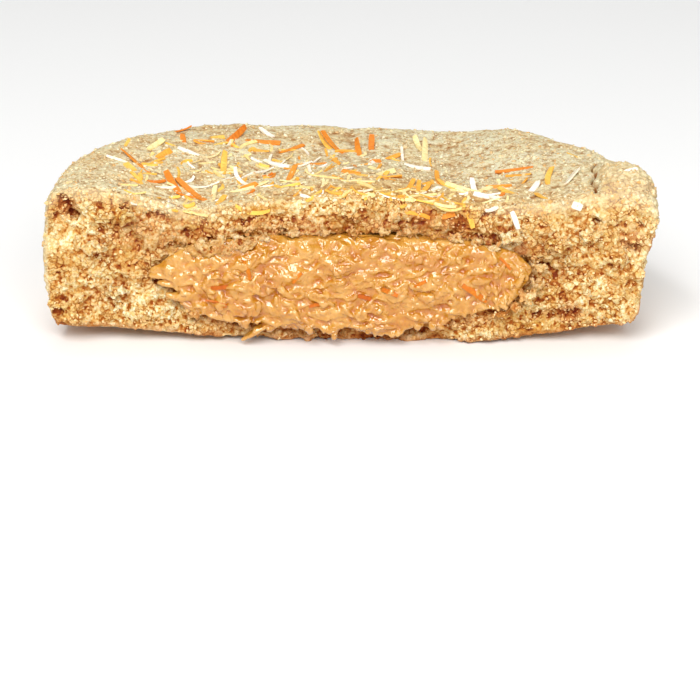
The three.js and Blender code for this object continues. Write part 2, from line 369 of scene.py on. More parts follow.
def distance_to_line(x, y, corners):
    """How far points lie from a line through corners, in plan."""
    nearest = np.full(len(x), np.inf)
    for (ax, ay), (bx, by) in zip(corners, corners[1:]):
        run, rise = bx - ax, by - ay
        along = np.clip(((x - ax) * run + (y - ay) * rise) / (run**2 + rise**2), 0, 1)
        nearest = np.minimum(nearest, np.hypot(x - ax - along * run, y - ay - along * rise))
    return nearest


# ---- Objects and modifiers ----
def only(piece):
    """Makes piece the only selected object, and the active one."""
    bpy.ops.object.select_all(action="DESELECT")
    piece.select_set(True)
    bpy.context.view_layer.objects.active = piece


def modify(piece, kind, **settings):
    """Adds a modifier and applies it."""
    only(piece)
    modifier = piece.modifiers.new(kind.title(), kind)
    for key, value in settings.items():
        setattr(modifier, key, value)
    bpy.ops.object.modifier_apply(modifier=modifier.name)


def remesh(piece, step):
    """Makes the piece one closed surface with its vertices about step apart."""
    modify(piece, "REMESH", mode="VOXEL", voxel_size=step)


def thin_out(piece, triangles):
    """Takes the piece down to a number of triangles."""
    ratio = min(1.0, triangles / len(triangles_of(piece.data)))
    modify(piece, "DECIMATE", ratio=ratio, use_collapse_triangulate=True)


def texture(kind, size, **settings):
    """A procedural texture for Displace, whose pattern is size wide."""
    made = bpy.data.textures.new(f"{kind.lower()}_{size / MM:.2f}mm", kind)
    made.noise_scale = size
    for key, value in settings.items():
        setattr(made, key, value)
    return made


def ridges(size, depth):
    """A texture of clouds with sharp ridges, size wide and of depth octaves."""
    return texture("CLOUDS", size, noise_type="HARD_NOISE", noise_depth=depth)


def displace(piece, pattern, depth, weights=None, direction="NORMAL", middle=0.5, stretch=None):
    """Pushes the surface in and out by a pattern, as far as an array of weights says.

    stretch gives how much longer the pattern is along X, Y and Z than it was made.
    """
    space, group = None, piece.vertex_groups.new(name="pushed")
    if weights is not None:
        steps = np.round(np.asarray(weights) * WEIGHT_STEPS).astype(int)
        for step in range(1, WEIGHT_STEPS + 1):
            group.add(np.flatnonzero(steps == step).tolist(), step / WEIGHT_STEPS, "REPLACE")
    if stretch:
        bpy.ops.object.empty_add()
        space = bpy.context.object
        space.scale = stretch
        bpy.context.view_layer.update()
    modify(
        piece,
        "DISPLACE",
        texture=pattern,
        texture_coords="OBJECT" if stretch else "LOCAL",
        texture_coords_object=space,
        strength=depth,
        mid_level=middle,
        direction=direction,
        vertex_group="" if weights is None else group.name,
    )
    piece.vertex_groups.clear()
    if space:
        bpy.data.objects.remove(space)


def shift(piece, distance, weights=None, direction="NORMAL"):
    """Moves the surface along its normals or an axis, as far as an array of weights says."""
    displace(piece, None, distance, weights, direction, 0.0)


def smooth_shading(piece):
    only(piece)
    bpy.ops.object.shade_smooth()


def edited(piece, operator, **settings):
    """Runs a mesh operator on all of the piece."""
    only(piece)
    bpy.ops.object.mode_set(mode="EDIT")
    bpy.ops.mesh.select_all(action="SELECT")
    operator(**settings)
    bpy.ops.object.mode_set(mode="OBJECT")


def linked(name, mesh):
    piece = bpy.data.objects.new(name, mesh)
    bpy.context.collection.objects.link(piece)
    return piece


def copy_of_node(node_name, name):
    """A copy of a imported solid's mesh, with its loose triangles merged."""
    piece = linked(name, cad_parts[node_name].data.copy())
    piece.data.materials.clear()
    edited(piece, bpy.ops.mesh.remove_doubles, threshold=MERGE_DISTANCE)
    return piece


def joined(piece, *others):
    """Joins the other objects into piece."""
    only(piece)
    for other in others:
        other.select_set(True)
    bpy.ops.object.join()
    return piece


# ---- What a mesh holds ----
def read(items, name, width, kind=np.float32):
    """One property of a mesh's vertices, edges or triangles, as an array of rows."""
    values = np.empty(len(items) * width, kind)
    items.foreach_get(name, values)
    return values.reshape(-1, width)


def points_of(mesh):
    return read(mesh.vertices, "co", 3).astype(float)


def normals_of(mesh):
    return read(mesh.vertex_normals, "vector", 3).astype(float)


def triangles_of(mesh):
    mesh.calc_loop_triangles()
    return read(mesh.loop_triangles, "vertices", 3, np.int32)


def attribute(piece, name, values):
    """Stores an array of one number for each vertex, which a material reads by name."""
    made = piece.data.attributes.new(name, "FLOAT", "POINT")
    made.data.foreach_set("value", np.asarray(values, np.float32))


def averaged(points, edges, rounds):
    """Points averaged with their neighbours again and again."""
    a, b = edges[:, 0], edges[:, 1]
    count = np.bincount(a, minlength=len(points)) + np.bincount(b, minlength=len(points)) + 1.0
    for _ in range(rounds):
        total = points.copy()
        for k in range(3):
            total[:, k] += np.bincount(a, points[b, k], len(points))
            total[:, k] += np.bincount(b, points[a, k], len(points))
        points = total / count[:, None]
    return points


def relief(mesh, rounds):
    """How far each vertex stands above (+) or below (-) the surface averaged round it, in metres."""
    points = points_of(mesh)
    around = averaged(points, read(mesh.edges, "vertices", 2, np.int32), rounds)
    return np.einsum("ij,ij->i", points - around, normals_of(mesh))


def search_tree(mesh):
    """A tree that finds the mesh's nearest point, or the first point on a ray."""
    return BVHTree.FromPolygons(points_of(mesh).tolist(), triangles_of(mesh).tolist())


# ---- Scattered things ----
def ball(level):
    """Vertices and faces of a unit ball, modelled once and then taken away."""
    bpy.ops.object.select_all(action="DESELECT")
    bpy.ops.mesh.primitive_ico_sphere_add(subdivisions=level, radius=1)
    made = bpy.context.object
    shape = points_of(made.data), triangles_of(made.data)
    bpy.data.objects.remove(made)
    return shape


def spread(mesh, wanted, count, dice):
    """Random points on a mesh, thick where wanted(centres, normals) is high, with the normals there."""
    points, triangles = points_of(mesh), triangles_of(mesh)
    corners = points[triangles]
    across = np.cross(corners[:, 1] - corners[:, 0], corners[:, 2] - corners[:, 0])
    areas = np.linalg.norm(across, axis=1)
    normals = across / np.maximum(areas, 1e-15)[:, None]
    share = areas * wanted(corners.mean(1), normals)
    picked = dice.choice(len(triangles), count, p=share / share.sum())
    u, v = dice.random(count), dice.random(count)
    over = u + v > 1
    u, v = np.where(over, 1 - u, u), np.where(over, 1 - v, v)
    a, b, c = corners[picked, 0], corners[picked, 1], corners[picked, 2]
    places = a + (b - a) * u[:, None] + (c - a) * v[:, None]
    return places, normals[picked]


def random_turns(count, dice):
    """Evenly spread random rotation matrices."""
    w, x, y, z = unit(dice.normal(size=(count, 4))).T
    rows = [
        [1 - 2 * (y * y + z * z), 2 * (x * y - z * w), 2 * (x * z + y * w)],
        [2 * (x * y + z * w), 1 - 2 * (x * x + z * z), 2 * (y * z - x * w)],
        [2 * (x * z - y * w), 2 * (y * z + x * w), 1 - 2 * (x * x + y * y)],
    ]
    return np.array(rows).transpose(2, 0, 1)


def turned_along(along, side):
    """Rotation matrices that lay a copy's X along one way and its Y along another, square to it."""
    return np.stack([along, side, np.cross(along, side)], 2)


def built(name, copies, faces, tints):
    """One mesh of many copies of a shape, from the points and the tint of each and the shape's faces."""
    count, each = len(copies), len(copies[0])
    indices = faces[None] + (np.arange(count) * each)[:, None, None]
    mesh = bpy.data.meshes.new(name)
    mesh.from_pydata(np.concatenate(copies), [], indices.reshape(-1, faces.shape[1]))
    piece = linked(name, mesh)
    attribute(piece, "tint", np.repeat(tints, each))
    return piece


def clones(name, shape, places, sizes, turns, dice=None, uneven=0.0, bend=None):
    """One mesh of many copies of a shape. Each has its place, its three sizes and its turn.

    bend gives the angle, in radians, by which each copy's half length is curled.
    """
    vertices, faces = shape
    count = len(places)
    local = np.repeat(vertices[None], count, axis=0)
    if uneven:
        local = local * (1 + uneven * dice.uniform(-1, 1, (count, len(vertices), 1)))
    local = local * sizes[:, None, :]
    if bend is not None:
        radius = sizes[:, :1] / np.where(np.abs(bend) < STRAIGHT, STRAIGHT, bend)[:, None]
        angle = local[:, :, 0] / radius
        local[:, :, 0] = (radius - local[:, :, 1]) * np.sin(angle)
        local[:, :, 1] = radius - (radius - local[:, :, 1]) * np.cos(angle)
    world = np.einsum("nij,nkj->nki", turns, local) + places[:, None, :]
    return built(name, world, faces, dice.random(count) if dice is not None else np.zeros(count))


# ---- Materials ----
def set_up(tree, made, settings):
    """Gives a node its settings.

    One in lower case is the node's own property. One in upper case is an input by its name, and one
    such as _6 by its number: it gets a plain value or another node's output. A colour is hex or linear.
    """
    for key, value in settings.items():
        if key[0].islower():
            setattr(made, key, value)
            continue
        socket = made.inputs[int(key[1:]) if key[0] == "_" else key.replace("_", " ")]
        if isinstance(value, bpy.types.NodeSocket):
            tree.links.new(value, socket)
        elif socket.type == "RGBA":
            socket.default_value = (*(linear(value) if isinstance(value, str) else value), 1)
        else:
            socket.default_value = value


def node(tree, kind, output=0, stops=(), **settings):
    """Adds a shader node, with a ramp's stops as positions and colours, and returns one of its outputs."""
    made = tree.nodes.new("ShaderNode" + kind)
    for number, (position, colour) in enumerate(stops):
        elements = made.color_ramp.elements
        element = elements[number] if number < len(elements) else elements.new(position)
        element.position = position
        element.color = (*(linear(colour) if isinstance(colour, str) else colour), 1)
    set_up(tree, made, settings)
    return made.outputs[output]


def lumps(size):
    """The scale of a noise whose lumps are about size wide. The noise's own are half a unit wide."""
    return 0.5 / size


def stain_and_shade(tree, colour, share, value, *stops):
    """Multiplies a share of a ramp through stops, read at value, into the colour: a real stain in
    some uses, and painted shade in others.
    """
    stain = node(tree, "ValToRGB", stops=stops, Fac=value)
    return node(tree, "Mix", 2, data_type="RGBA", blend_type="MULTIPLY", _0=share, _6=colour, _7=stain)


def covered(tree, colour, where, share, cover, mode="MIX"):
    """Covers the colour with another, as far as a share of where, an attribute or a value, says."""
    if isinstance(where, str):
        where = node(tree, "Attribute", "Fac", attribute_name=where)
    amount = node(tree, "Math", operation="MULTIPLY", _0=where, _1=share)
    return node(tree, "Mix", 2, data_type="RGBA", blend_type=mode, _0=amount, _6=colour, _7=cover)


def granules(tree, place, size):
    """Granules about size wide with bent outlines: the distance to their seams, and a tone for each."""
    warp = node(tree, "TexNoise", "Color", Vector=place, Scale=0.9 / size, Detail=4.0, Roughness=0.65)
    bent = node(tree, "VectorMath", operation="MULTIPLY_ADD", _0=warp, _1=(size, size, size), _2=place)
    flat = node(tree, "VectorMath", operation="MULTIPLY", _0=bent, _1=(0.75, 1, 1.1))
    seam = node(tree, "TexVoronoi", feature="DISTANCE_TO_EDGE", Vector=flat, Scale=1 / size)
    tones = node(tree, "TexVoronoi", "Color", Vector=flat, Scale=1 / size)
    return seam, node(tree, "SeparateColor", Color=tones)


def new_material(name):
    """A new material, its node tree and its object coordinates."""
    made = bpy.data.materials.new(name)
    made.use_nodes = True
    return made, made.node_tree, node(made.node_tree, "TexCoord", "Object")


def shaded(made, **inputs):
    """Sets the shader's own sockets, or links them."""
    set_up(made.node_tree, made.node_tree.nodes["Principled BSDF"], inputs)
    return made


def baked_dough(colours):
    """Soft-baked wheat dough, browned dry on its outside and torn open on the cut.

    It is matte and a little waxy with butter. The crust is pale with painted shade in its creases, and
    the crumb is cream, with painted light on its peaks and painted shade in its pits and clefts.
    """
    made, tree, place = new_material("baked_dough")
    pit, cleft, broad, behind, moist, pale = (
        node(tree, "Attribute", "Fac", attribute_name=name)
        for name in ("pit", "cleft", "broad", "behind", "moist", "pale")
    )

    # Each noise has the size of its lumps in millimetres, its detail and its roughness. Flour's own
    # grain, under a tenth of a millimetre, is drawn three times as coarse to show.
    noise = {
        name: node(tree, "TexNoise", Vector=place, Scale=lumps(size * MM), Detail=detail, Roughness=rough)
        for name, size, detail, rough in (
            ("patches", 3.5, 5.0, 0.75),
            ("lines", 1.5, 4.0, 0.6),
            ("specks", 0.3, 4.0, 0.8),
            ("wrinkles", 1.0, 5.0, 0.7),
            ("grit", 0.28, 4.0, 0.8),
            ("clear granules", 2.5, 2.0, 0.5),
            ("butter", 6.0, 4.0, 0.6),
            ("ragged edge", 1.3, 2.0, 0.5),
            ("flour", 0.3, 4.0, 0.65),
        )
    }

    # The crust: slow patches of paler and browner bake, then fine brown lines and specks, and painted
    # shade in its creases, then the drier wall, gold near the cut, the brown rim and the toasted spots.
    stops = ((0.36, "#D6BE8E"), (0.48, colours.crust), (0.6, "#DBD5B4"))
    crust = node(tree, "ValToRGB", stops=stops, Fac=noise["patches"])
    crust = stain_and_shade(tree, crust, 0.65, noise["lines"], (0.46, WHITE), (0.49, "#C08834"), (0.525, WHITE))
    crust = stain_and_shade(tree, crust, 0.65, noise["specks"], (0.38, "#C2903C"), (0.5, WHITE))
    # Painted shade: darker brown in the crust's creases and pits.
    crust = stain_and_shade(tree, crust, 0.8, pit, (0.25, "#BC8436"), (0.48, WHITE))
    crust = covered(tree, crust, "wall", 0.65, "#DEC290")
    crust = covered(tree, crust, "golden", 1.0, "#F0C678", "MULTIPLY")
    crust = covered(tree, crust, "rim", 0.7, "#E0A860", "MULTIPLY")
    crust = covered(tree, crust, "browned", 1.0, "#C98644")

    # The crumb: painted shade in its pits and painted light on its peaks, then its pale ends, grit,
    # painted shade along the granules' outlines, and their tones, then painted shade in clefts, buttery
    # patches, painted shade in broad hollows and painted light on pale raised parts, and last where it
    # is moist or toasted, and the greasy strip under the filling with its painted shadow.
    # Painted shade in the crumb's pits and painted light on its peaks, read from the relief.
    stops = ((0.08, colours.crumb_pit_shade), (0.32, colours.crumb), (0.56, "#E2DAB0"), (0.9, colours.crumb_peak_light))
    crumb = node(tree, "ValToRGB", stops=stops, Fac=pit)
    crumb = covered(tree, crumb, pale, 0.5, "#E4DEBC")
    stops = ((0.37, "#AC7A2A"), (0.47, "#EAD8AC"), (0.54, WHITE))
    crumb = stain_and_shade(tree, crumb, 0.65, noise["grit"], *stops)
    seam, tone = granules(tree, place, 1.2 * MM)
    # Painted shade along the seams between granules, in patches where they show.
    stops = ((0.0, "#9C6018"), (0.04, "#D2AA66"), (0.12, WHITE))
    outlines = node(tree, "ValToRGB", stops=stops, Fac=seam)
    clear = node(tree, "MapRange", Value=noise["clear granules"], From_Min=0.4, From_Max=0.56)
    crumb = covered(tree, crumb, clear, 0.9, outlines, "MULTIPLY")
    crumb = stain_and_shade(tree, crumb, 0.7, tone, (0.1, "#E0C08A"), (0.6, WHITE))
    # Painted shade in the clefts.
    crumb = stain_and_shade(tree, crumb, 0.6, cleft, (0.05, "#BE8034"), (0.3, "#E8C88E"), (0.5, WHITE))
    buttery = node(tree, "MapRange", Value=noise["butter"], From_Min=0.4, From_Max=0.62)
    crumb = covered(tree, crumb, buttery, 1.0, "#E6C48C", "MULTIPLY")
    # Painted shade in the broad hollows.
    crumb = stain_and_shade(tree, crumb, 0.6, broad, (0.1, "#C87024"), (0.5, WHITE))
    # Painted light: the pale crumb is paler still on its raised parts.
    raised = node(tree, "MapRange", Value=broad, From_Min=0.1, From_Max=0.45)
    raised = node(tree, "Math", operation="MULTIPLY", _0=raised, _1=pale)
    crumb = covered(tree, crumb, raised, 0.2, "#EEE8C6")
    crumb = covered(tree, crumb, moist, 0.6, colours.moist_crumb, "MULTIPLY")
    crumb = covered(tree, crumb, "browned", 0.8, "#D48C44", "MULTIPLY")
    # Grease and painted shadow darken the strip under the filling.
    crumb = covered(tree, crumb, "greasy", 0.6, "#E8A858", "MULTIPLY")

    # Crumb turns to crust along a ragged line, about a millimetre and a half behind the cut.
    ragged = node(tree, "Math", operation="MULTIPLY_ADD", _0=noise["ragged edge"], _1=0.3, _2=behind)
    ragged = node(tree, "MapRange", Value=ragged, From_Min=0.32, From_Max=0.52)
    colour = covered(tree, crumb, ragged, 1.0, crust)
    # Painted shade in the cracks of the crust.
    colour = covered(tree, colour, "cracked", 1.0, "#8A4A1C")

    # Floury grain over the fine wrinkles of the crust.
    creased = node(tree, "Bump", Height=noise["wrinkles"], Strength=0.7, Distance=0.35 * MM)
    floury = {"Height": noise["flour"], "Strength": 0.9, "Distance": 0.15 * MM}
    return shaded(
        made,
        Base_Color=colour,
        Roughness=node(tree, "MapRange", Value=moist, To_Min=0.78, To_Max=0.42),
        Specular_IOR_Level=0.22,
        Subsurface_Weight=0.12,
        Subsurface_Radius=(1.2 * MM, 0.6 * MM, 0.2 * MM),
        Subsurface_Scale=1.0,
        Normal=node(tree, "Bump", Normal=creased, **floury),
    )


def dough_grain(name, colours, *shades):
    """Grains of the same baked dough: dry, matte and a little paler or browner one by one."""
    made, tree, _ = new_material(name)
    tint = node(tree, "Attribute", "Fac", attribute_name="tint")
    colour = node(tree, "ValToRGB", stops=tuple(zip((0.0, 0.5, 1.0), shades)), Fac=tint)
    colour = covered(tree, colour, "moist", 0.8, colours.moist_crumb, "MULTIPLY")
    return shaded(made, Base_Color=colour, Roughness=0.75, Specular_IOR_Level=0.35)


def dried_coconut(shade, pale, deep):
    """Desiccated coconut, cut in thin ribbons: fibrous, slightly waxy, and browned first at its tips."""
    made, tree, place = new_material(f"dried_coconut_{shade}")
    tint = node(tree, "Attribute", "Fac", attribute_name="tint")
    colour = node(tree, "ValToRGB", stops=((0.0, deep), (1.0, pale)), Fac=tint)
    fibres = node(tree, "TexNoise", Vector=place, Scale=lumps(0.35 * MM), Detail=3.0, Roughness=0.6)
    colour = stain_and_shade(tree, colour, 0.5, fibres, (0.35, "#D9C09A"), (0.6, WHITE))
    return shaded(
        made,
        Base_Color=covered(tree, colour, "tip", 0.35, deep),
        Roughness=0.5,
        Specular_IOR_Level=0.25,
        Subsurface_Weight=0.15,
        Subsurface_Radius=(0.6 * MM, 0.6 * MM, 0.4 * MM),
        Subsurface_Scale=1.0,
    )


def nut_cream(colours):
    """Caramel-coloured nut cream: an oily paste with ground nut in it.

    It is glossy and soft, light passes a little way into it, and knife marks and strings show on it.
    """
    made, tree, place = new_material("nut_cream")
    pit = node(tree, "Attribute", "Fac", attribute_name="pit")
    broad = node(tree, "Attribute", "Fac", attribute_name="broad")
    streaks = {"Scale": lumps(3.0 * MM), "Detail": 4.0, "Roughness": 0.6, "Distortion": 1.2}
    streaks = node(tree, "TexNoise", Vector=place, **streaks)
    stops = ((0.3, "#B06A16"), (0.5, colours.filling), (0.7, "#CC984A"))
    colour = node(tree, "ValToRGB", stops=stops, Fac=streaks)
    # Painted shade in the cream's folds and broad hollows.
    colour = stain_and_shade(tree, colour, 0.8, pit, (0.1, colours.filling_fold_shade), (0.5, WHITE))
    colour = stain_and_shade(tree, colour, 0.85, broad, (0.1, "#EEBC74"), (0.5, WHITE))
    # Painted light: the cream's crests are paler.
    crests = node(tree, "MapRange", Value=pit, From_Min=0.55, From_Max=0.95)
    ripples = {"noise_type": "RIDGED_MULTIFRACTAL", "Scale": lumps(0.7 * MM), "Distortion": 1.0}
    ripples = node(tree, "TexNoise", Vector=place, **ripples)
    rippled = node(tree, "Bump", Height=ripples, Strength=1.0, Distance=0.34 * MM)
    ground_nut = node(tree, "TexNoise", Vector=place, Scale=lumps(0.35 * MM))
    surface = node(tree, "Bump", Height=ground_nut, Strength=0.7, Distance=0.12 * MM, Normal=rippled)
    return shaded(
        made,
        Base_Color=covered(tree, colour, crests, 0.35, "#D6AC6E"),
        Roughness=0.12,
        Specular_IOR_Level=0.2,
        Specular_Tint="#FFF2D2",
        Subsurface_Weight=0.12,
        Subsurface_Radius=(1.6 * MM, 1.0 * MM, 0.4 * MM),
        Subsurface_Scale=1.0,
        Coat_Weight=0.85,
        Coat_Roughness=0.03,
        Coat_IOR=1.8,
        Normal=surface,
        Coat_Normal=surface,
    )


# ---- Sizes and colours that a user would change ----
class CookieSizes(bpy.types.PropertyGroup):
    pellet: FloatProperty(
        name="Pellet",
        description="Size of the smallest lumps that are fused into the crumb",
        default=0.32 * MM,
        unit="LENGTH",
        subtype="DISTANCE",
    )
    grain: FloatProperty(
        name="Grain",
        description="Size of the loose grains that cling to the crumb",
        default=0.2 * MM,
        unit="LENGTH",
        subtype="DISTANCE",
    )
    mesh_step: FloatProperty(
        name="Mesh step",
        description="Distance between the crumb's vertices",
        default=0.27 * MM,
        unit="LENGTH",
        subtype="DISTANCE",
    )


class CookieColours(bpy.types.PropertyGroup):
    crust: FloatVectorProperty(
        name="Crust", description="The pale baked crust", subtype="COLOR", default=linear("#DACEA6")
    )
    crumb: FloatVectorProperty(
        name="Crumb",
        description="The crumb between pits and peaks",
        subtype="COLOR",
        default=linear("#E0C27E"),
    )
    # Painted shade: the crumb's colour deep in its pits.
    crumb_pit_shade: FloatVectorProperty(
        name="Crumb pit shade",
        description="Painted shade of the crumb deep in its pits",
        subtype="COLOR",
        default=linear("#B0701A"),
    )
    # Painted light: the crumb's colour on its peaks.
    crumb_peak_light: FloatVectorProperty(
        name="Crumb peak light", description="Painted light on the crumb's peaks", subtype="COLOR", default=linear("#EDE8CC")
    )
    moist_crumb: FloatVectorProperty(
        name="Moist crumb",
        description="Tint of the crumb that the filling has soaked",
        subtype="COLOR",
        default=linear("#E2C4AC"),
    )
    filling: FloatVectorProperty(
        name="Filling", description="The cream filling", subtype="COLOR", default=linear("#BB801E")
    )
    # Painted shade: the filling's colour in its folds.
    filling_fold_shade: FloatVectorProperty(
        name="Filling fold shade",
        description="Painted shade of the filling in its folds",
        subtype="COLOR",
        default=linear("#EEC27C"),
    )


# ---- Where things are on the cut ----
def outline(node_name, depth, along, count, margin=0.0):
    """The solid's outline in the plane that is depth behind the cut.

    At count places along X (0) or Z (2) it gives the place, and where the outline starts and ends
    across it.
    """
    low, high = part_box(node_name)
    tree = search_tree(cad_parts[node_name].data)
    across = 2 - along
    rows = []
    for place in np.linspace(low[along] + margin, high[along] - margin, count):
        before, after, ahead = Vector((0, CUT_Y + depth, 0)), Vector((0, CUT_Y + depth, 0)), Vector()
        before[along] = after[along] = place
        before[across], after[across] = low[across] - RAY_MARGIN, high[across] + RAY_MARGIN
        ahead[across] = 1
        first, last = tree.ray_cast(before, ahead)[0], tree.ray_cast(after, -ahead)[0]
        if first and last:
            rows.append((place, first[across], last[across]))
    return np.array(rows).T


COOKIE_EDGES = outline("cookie_half", OUTLINE_DEPTH, 0, OUTLINE_STEPS[0])
COOKIE_SIDES = outline("cookie_half", OUTLINE_DEPTH, 2, OUTLINE_STEPS[1], 1 * MM)
FILLING_EDGES = outline("filling", -0.2 * MM, 0, OUTLINE_STEPS[0])


def above_base(x, z):
    """Height above the cut's lower edge."""
    return z - np.interp(x, COOKIE_EDGES[0], COOKIE_EDGES[1])


def below_top(x, z):
    """Depth below the cut's upper edge."""
    return np.interp(x, COOKIE_EDGES[0], COOKIE_EDGES[2]) - z


def below_filling(x, z):
    """Depth below the filling's lower edge."""
    return np.interp(x, FILLING_EDGES[0], FILLING_EDGES[1]) - z


def within(x, z):
    """How far inside the cut's top and sides a place is, and below 0 outside them."""
    left = x - np.interp(z, COOKIE_SIDES[0], COOKIE_SIDES[1])
    right = np.interp(z, COOKIE_SIDES[0], COOKIE_SIDES[2]) - x
    return np.minimum.reduce([below_top(x, z), left, right])


def torn(points):
    """1 on the torn crumb, fading to 0 behind it and at its base."""
    x, y, z = points.T
    inside = rising(0.5, 2, within(x, z))
    behind = falling(0, 2.2, y - CUT_Y - (1 + 4.5 * inside) * MM)
    return behind * rising(-0.4, 0.5, above_base(x, z))


def soaked(points):
    """1 where the filling has soaked the crumb, round it and in the corner at its left, fading to 0."""
    x, y, z = points.T
    across = (x - FILLING_X) / (FILLING_HALF + 6 * MM)
    up = (z - FILLING_Z - 1 * MM) / (9 * MM)
    round_it = 1 - smoothstep(0.6, 1.15, np.hypot(across, up))
    corner = 1 - smoothstep(0.4, 1.2, np.hypot((x + 33 * MM) / (10 * MM), (z - 20 * MM) / (4 * MM)))
    return np.maximum(round_it, 0.9 * corner) * (y - CUT_Y < 3 * MM)


def broken(x, depth):
    """1 where the crust has crumbled away at the right end, fading to 0 round it."""
    return rising(42, 43.8, x) * falling(12, 18, depth)


def on_cut(centres, normals):
    """Where the surface is the cut face, away from its edges."""
    x, y, z = centres.T
    face = (normals[:, 1] < 0.2) & (y < CUT_Y + 2.6 * MM)
    return face & (above_base(x, z) > 0.4 * MM) & (below_top(x, z) > 0.3 * MM)


# ---- The baked half ----
class COOKIE_OT_baked_half(bpy.types.Operator):
    """Bakes the half cookie: its crust, its torn crumb and the colours of both"""

    bl_idname = "cookie.baked_half"
    bl_label = "Baked half"

    def execute(self, context):
        sizes, colours = context.scene.cookie_sizes, context.scene.cookie_colours
        dice = np.random.default_rng(SEED)
        body = copy_of_node("cookie_half", "cookie")
        remesh(body, DOUGH_STEPS[0])
        self.tear(body)
        joined(body, self.pellets(body, sizes.pellet, dice), self.clods(dice))
        remesh(body, sizes.mesh_step)
        cut = torn(points_of(body.data))
        displace(body, ridges(0.7 * MM, 2), 0.5 * MM, cut)
        displace(body, texture("CLOUDS", 0.4 * MM), 0.26 * MM, cut)
        points = points_of(body.data)
        self.wrinkle(body, points)
        self.crumble(body, points)
        self.crack(body, points)
        self.stand(body)
        thin_out(body, DOUGH_TRIANGLES)
        self.colour_crust(body)
        self.colour_crumb(body)
        body.data.materials.append(baked_dough(colours))
        smooth_shading(body)
        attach(body, BODY)
        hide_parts("cookie_half")
        return {"FINISHED"}

    def tear(self, body):
        """Makes the cut uneven, with ledges across it, then tears its hollows and its humps."""
        cut = torn(points_of(body.data))
        shift(body, 0.5 * MM, cut, "Y")
        displace(body, texture("CLOUDS", 8 * MM), 2.2 * MM, cut, "Y")
        displace(body, ridges(2.6 * MM, 1), -1.7 * MM, cut, "Y", stretch=(2.0, 1, 1))
        remesh(body, DOUGH_STEPS[1])
        self.hollow(body)
        cut = torn(points_of(body.data))
        displace(body, texture("VORONOI", 2.2 * MM), -0.9 * MM, cut)
        displace(body, ridges(1.3 * MM, 3), 0.9 * MM, cut)

    def hollow(self, body):
        """Tears the listed hollows out of the crumb and a strip under the filling, and leaves ledges."""
        points = points_of(body.data)
        x, _, z = points.T
        face = torn(points) * rising(0, 1.2, within(x, z))
        for across, up, half_width, half_height, tilt, depth in HOLLOWS:
            turn = math.radians(tilt)
            right, high = x - across * MM, z - up * MM
            along = (right * math.cos(turn) + high * math.sin(turn)) / (half_width * MM)
            over = (high * math.cos(turn) - right * math.sin(turn)) / (half_height * MM)
            weight = face * (1 - smoothstep(0.35, 1.15, np.hypot(along, over)))
            shift(body, depth * MM, weight, "Y")
        below = below_filling(x, z)
        strip = 1 - smoothstep(0.85, 1.02, np.abs(x - FILLING_X) / FILLING_HALF)
        strip = strip * rising(-0.6, 0.4, below) * falling(1.2, 2.8, below)
        shift(body, 0.9 * MM, face * strip, "Y")

    def pellets(self, body, size, dice):
        """Pellets of crumb, a third sunk in the cut."""
        count = int(CUT_AREA * PELLETS)
        places, normals = spread(body.data, on_cut, count, dice)
        radius = size * np.exp(dice.normal(0, 0.3, count))
        places -= normals * (radius * 0.3)[:, None]
        stretch = dice.uniform(0.6, 1.4, (count, 3)) * radius[:, None]
        return clones("pellets", ball(2), places, stretch, random_turns(count, dice), dice, uneven=0.35)

    def clods(self, dice):
        """The clods that stand out of the cut: each is listed and clumped of many lumps."""
        rows = np.repeat(np.array(CLODS, float), LUMPS_IN_A_CLOD, axis=0) * MM
        radius = rows[:, 2:3]
        places = np.stack([rows[:, 0], CUT_Y - rows[:, 3], rows[:, 1]], 1)
        places += dice.normal(0, 0.45, (len(rows), 3)) * radius * [1.2, 0.7, 0.8]
        stretch = dice.uniform(0.2, 0.5, (len(rows), 3)) * radius
        return clones("clods", ball(2), places, stretch, random_turns(len(rows), dice), dice, uneven=0.25)

    def wrinkle(self, body, points):
        """Undulates and wrinkles the crust."""
        crust = rising(0.6, 2.2, points[:, 1] - CUT_Y)
        for size, depth in ((9 * MM, 0.9 * MM), (2.6 * MM, 0.45 * MM), (1.0 * MM, 0.22 * MM)):
            displace(body, texture("CLOUDS", size), depth, crust)

    def crumble(self, body, points):
        """Lets the top sag before its right end, and swells and crumbles that end."""
        x, y, z = points.T
        depth = y - CUT_Y
        sag = bell(x - 19 * MM, 7) * rising(8, 20, depth) * rising(10, 20, z)
        shift(body, -1.1 * MM, sag, "Z")
        lump = broken(x, depth) * rising(0.3, 1.5, depth) * rising(9, 20, z)
        shift(body, 0.5 * MM, lump)
        raised = rising(42.8, 45, x) * rising(2, 7, depth)
        raised = raised * rising(12, 20, z) * falling(12, 20, depth)
        shift(body, 1.5 * MM, raised, "Z")
        displace(body, texture("VORONOI", 1.7 * MM), -0.7 * MM, lump)
        displace(body, ridges(0.8 * MM, 2), 0.5 * MM, lump)

    def crack(self, body, points):
        """Splits the crust along the listed cracks."""
        x, y, z = points.T
        upward = normals_of(body.data)[:, 2] > 0.2
        for corners, width, deep in CRACKS:
            away = distance_to_line(x / MM, (y - CUT_Y) / MM, corners)
            weight = (1 - smoothstep(width * 0.3, width, away)) * upward * (z > FILLING_Z)
            shift(body, -deep * MM, weight, "Z")

    def stand(self, body):
        """Lifts what hangs below the base to the base."""
        points = points_of(body.data)
        x, y, z = points.T
        cut_base = np.interp(x, COOKIE_EDGES[0], COOKIE_EDGES[1])
        lowest = np.where(y < CUT_Y + OUTLINE_DEPTH, cut_base, COOKIE_LOW.z)
        points[:, 2] = np.maximum(z, np.where(z < 5 * MM, lowest, z))
        body.data.vertices.foreach_set("co", points.astype(np.float32).ravel())
        body.data.update()

